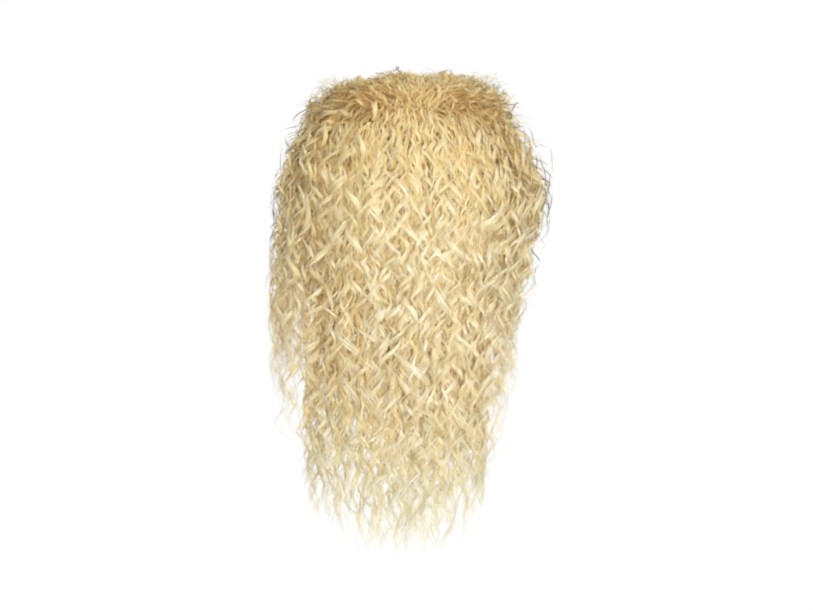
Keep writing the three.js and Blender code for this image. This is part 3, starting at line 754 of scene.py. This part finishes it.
for name, sector, seed, wide, hung, hang, edge in (("side_hair_left", (-52, 38), 5, 0.1, 15, (2, 26), (-10, 14)),
                                                  ("side_hair_right", (142, 232), 6, 0.0, 12, (150, 166), (166, 190))):
    dress(name, name, HAIR, seed, [
        dict(kind="lock", locks=hung, sector=hang, depth=(0.6, 0.95), length=(330, 430), each=5, lift=(1.1, 1.2 + wide), hem=(0.1, 0.6)),
        dict(kind="lock", locks=46, sector=sector, depth=(0.7, 1.0), length=(160, 430), layers=(0.84, 1.0), lift=(0.98, 1.12 + wide),
             hem=(-0.4, 0.4)),
        dict(kind="ringlet", locks=20, sector=sector, depth=(0.7, 1.0), length=(130, 430), layers=(0.84, 1.0), lift=(1.04, 1.14 + wide)),
        dict(kind="lock", locks=20, sector=sector, depth=(0.6, 0.95), length=(120, 380), each=3, lift=(1.1, 1.25 + wide), steep=(0.8, 1.3),
             hem=(-0.4, 0.4), shade=(0.0, 0.6)),
        dict(kind="deep", locks=26, sector=sector, depth=(0.1, 0.75), length=(300, 430), layers=(0.84, 1.0), straight=12, root_wave=0.7),
        dict(kind="broad", locks=90, sector=sector, depth=(0.6, 0.97), length=(160, 380)),
        dict(kind="broad", locks=50, sector=sector, depth=(0.1, 0.7), length=(250, 400), under=0.3, steep=(0.6, 1.0), density=0.2,
             thick=(1.6, 3.0), straight=12, root_wave=0.7),
        dict(kind="free", locks=20, sector=sector, depth=(0.6, 1.0), length=(120, 400)),
        dict(kind="tuft", locks=16, sector=sector, depth=(0.55, 0.95), length=(60, 330), each=4, pitch=(18, 28), root=(0.0, 0.3),
             density=0.28),
        dict(kind="stray", locks=30, sector=sector, depth=(0.5, 1.0), length=(80, 400), flick=(0.0, 0.35)),
        # painted shade: flyaways past the outline, and the loops below, are painted near-black, as hairs in shade
        dict(kind="stray", locks=34, sector=edge, depth=(0.6, 1.0), length=(50, 260), steep=(0.9, 1.6), pitch=(20, 32), lift=(1.15, 1.38),
             thick=(0.9, 1.4), shade=(0.0, 0.06), flick=(0.1, 0.45), layers=(0.5, 0.9)),
        dict(kind="stray", locks=12, sector=edge, depth=(0.55, 1.0), length=(120, 300), each=2, width=3.0, steep=(1.3, 2.1), pitch=(24, 36),
             lift=(1.08, 1.25), loose=1.5, thick=(0.6, 0.95), shade=(0.02, 0.12)),
    ])
dress("fringe", "fringe", HAIR, 7, [
    dict(kind="lock", locks=60, sector=(-132, -48), depth=(0.3, 0.95), length=(120, 230)),
    dict(kind="broad", locks=70, sector=(-132, -48), depth=(0.1, 0.9), length=(100, 200)),
    dict(kind="stray", locks=14, sector=(-132, -48), depth=(0.3, 0.9), length=(80, 160)),
])


# ------------------------------------------------------------------ the cap
def cap():
    across, down = 128, 48
    wall, rib, rib_every = 1.5, 0.45, 10.0
    ang = np.radians(np.linspace(-90, 270, across, endpoint=False))
    level = round_head_level(ang)
    fine = np.linspace(0, len(HEAD_ROWS) - 1, 400)
    zs = rows_at(HEAD_ROWS, HEAD_MIRROR, fine)[:, 0]
    end = np.interp(-level, -zs, fine)
    row = end[:, None] * (np.linspace(0.0, 1, down)[None] ** 0.9)

    def head(a, r):
        q = rows_at(HEAD_ROWS, HEAD_MIRROR, r)
        z, hw, fr, ba = np.moveaxis(q, -1, 0)
        x, y = on_section(a, hw, hw, fr, ba, np.full(z.shape, 2.1))
        return np.stack([x, y, z], -1)

    A = np.broadcast_to(ang[:, None], row.shape)
    inner = head(A, row)
    e = 0.03
    dn = head(A, row + e) - head(A, np.maximum(row - e, 0))
    rd = head(A + 0.02, row) - head(A - 0.02, row)
    nor = unit(np.cross(dn, rd))
    nor[:, 0] = (0, 0, 1)
    arc = np.concatenate([np.zeros((across, 1)), np.cumsum(np.linalg.norm(np.diff(inner, axis=1), axis=-1), 1)], 1)
    left = arc[:, -1:] - arc
    hem = smooth(left, 10.5, 8.0)
    band = np.cos(2 * np.pi * arc / rib_every)
    raised = rib * smooth(band, 0.35, 0.8) * (1 - hem) * smooth(arc, 8, 20)
    inside = inner - nor * raised[..., None] * 0.8
    outside = inner + nor * (wall + 0.9 * hem + 0.5 * raised)[..., None]
    co = np.concatenate([outside.reshape(-1, 3), inside.reshape(-1, 3)])
    k = np.arange(across * down).reshape(across, down)
    nx = np.roll(k, -1, 0)
    o = np.stack([k[:, :-1], k[:, 1:], nx[:, 1:], nx[:, :-1]], -1).reshape(-1, 4)
    b = across * down
    i = np.stack([k[:, :-1], nx[:, :-1], nx[:, 1:], k[:, 1:]], -1).reshape(-1, 4) + b
    r = np.stack([k[:, -1], k[:, -1] + b, nx[:, -1] + b, nx[:, -1]], -1)
    quads = np.concatenate([o, i, r])
    ob = mesh_piece("wig_cap", co * MM, quads, CAP)
    me = ob.data
    # the net's own measure, in mm: round the head and down from the crown
    layer = me.uv_layers.new(name="Net")
    girth = np.degrees(A) * 1.55
    uv_v = np.stack([girth, arc], -1).reshape(-1, 2)
    uv_v = np.concatenate([uv_v, uv_v])
    layer.data.foreach_set("uv", uv_v[quads.ravel()].astype(np.float32).ravel())
    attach(ob, "root")
    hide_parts("wig_cap")
    return ob


def round_head_level(ang):
    deg = (np.degrees(ang) + 90) % 360 - 90
    deg = np.where(deg > 90, 180 - deg, deg)
    i = np.clip(np.searchsorted(CAP_EDGE[:, 0], deg) - 1, 0, len(CAP_EDGE) - 2)
    u = (deg - CAP_EDGE[i, 0]) / (CAP_EDGE[i + 1, 0] - CAP_EDGE[i, 0])
    u = np.clip(u, 0, 1)
    u = u * u * (3 - 2 * u)
    return CAP_EDGE[i, 1] + (CAP_EDGE[i + 1, 1] - CAP_EDGE[i, 1]) * u


CAP = cap_material()
cap()

# ------------------------------------------------------------------ floor, light and camera
FLOOR_Z = -0.60
me = bpy.data.meshes.new("floor")
me.from_pydata([(-60, -60, FLOOR_Z), (60, -60, FLOOR_Z), (60, 60, FLOOR_Z), (-60, 60, FLOOR_Z)], [], [(0, 1, 2, 3)])
floor = bpy.data.objects.new("floor", me)
bpy.context.collection.objects.link(floor)
pale = bpy.data.materials.new("pale_floor")
pale.use_nodes = True
skin = pale.node_tree.nodes["Principled BSDF"]
skin.inputs["Base Color"].default_value = (0.04, 0.04, 0.04, 1)
skin.inputs["Roughness"].default_value = 1.0
skin.inputs["Specular IOR Level"].default_value = 0.0
skin.inputs["Emission Color"].default_value = (1, 1, 1, 1)
skin.inputs["Emission Strength"].default_value = 0.99
me.materials.append(pale)
# the floor is far below what hangs here, and throws no light up at it
floor.visible_diffuse = floor.visible_glossy = False

# a white backdrop, which lights the wig less than the lamps do
world = bpy.data.worlds.new("studio")
bpy.context.scene.world = world
world.use_nodes = True
wn = world.node_tree
bg = wn.nodes["Background"]
bg.inputs["Color"].default_value = (1, 1, 1, 1)
seen = wn.nodes.new("ShaderNodeLightPath")
strength = wn.nodes.new("ShaderNodeMath")
strength.operation = "MULTIPLY_ADD"
strength.inputs[1].default_value = 0.57
strength.inputs[2].default_value = 0.43
wn.links.new(seen.outputs["Is Camera Ray"], strength.inputs[0])
wn.links.new(strength.outputs[0], bg.inputs["Strength"])


def area(name, at, to, size, power, colour=(1, 1, 1)):
    light = bpy.data.lights.new(name, "AREA")
    light.shape = "DISK"
    light.size = size
    light.energy = power
    light.color = colour
    ob = bpy.data.objects.new(name, light)
    ob.location = at
    ob.rotation_euler = (Vector(to) - Vector(at)).to_track_quat("-Z", "Y").to_euler()
    bpy.context.collection.objects.link(ob)
    return ob


CENTRE = (0.0, 0.05, -0.18)
area("key", (-0.19, 2.6, -0.36), CENTRE, 0.35, 34)
area("second", (-1.1, 2.35, 0.1), CENTRE, 0.5, 8, (0.8, 0.95, 1.3))
area("upper", (-0.2, 1.7, 1.4), CENTRE, 0.7, 3.5)
area("side", (-1.6, 1.2, 0.1), CENTRE, 1.0, 3.5, (0.8, 0.95, 1.3))
area("top", (-0.1, 0.4, 1.7), CENTRE, 1.2, 2.5)
area("front", (0.3, -2.3, 0.2), CENTRE, 1.0, 24)
area("left", (2.0, -1.3, 0.3), CENTRE, 0.8, 5)
area("right", (-2.0, -1.3, 0.3), CENTRE, 0.8, 8)

cam_data = bpy.data.cameras.new("camera")
cam_data.sensor_width = 36.0
cam_data.lens = 85.0
cam = bpy.data.objects.new("camera", cam_data)
AIM_X, AIM_Z, NEAR_Y = 0.0035, -0.205, 0.06
SPAN = 0.813  # width of the frame at the wig
DISTANCE = SPAN / 36.0 * cam_data.lens
cam.location = (AIM_X, NEAR_Y + DISTANCE, AIM_Z)
cam.rotation_euler = (math.radians(90), 0, math.radians(180))
bpy.context.collection.objects.link(cam)
bpy.context.scene.camera = cam
bpy.context.scene.view_settings.view_transform = "Standard"
# pale hair passes light on from strand to strand many times
bpy.context.scene.cycles.diffuse_bounces = 24
bpy.context.scene.cycles.max_bounces = 28
# the picture is a little soft
bpy.context.scene.cycles.filter_width = 2.1
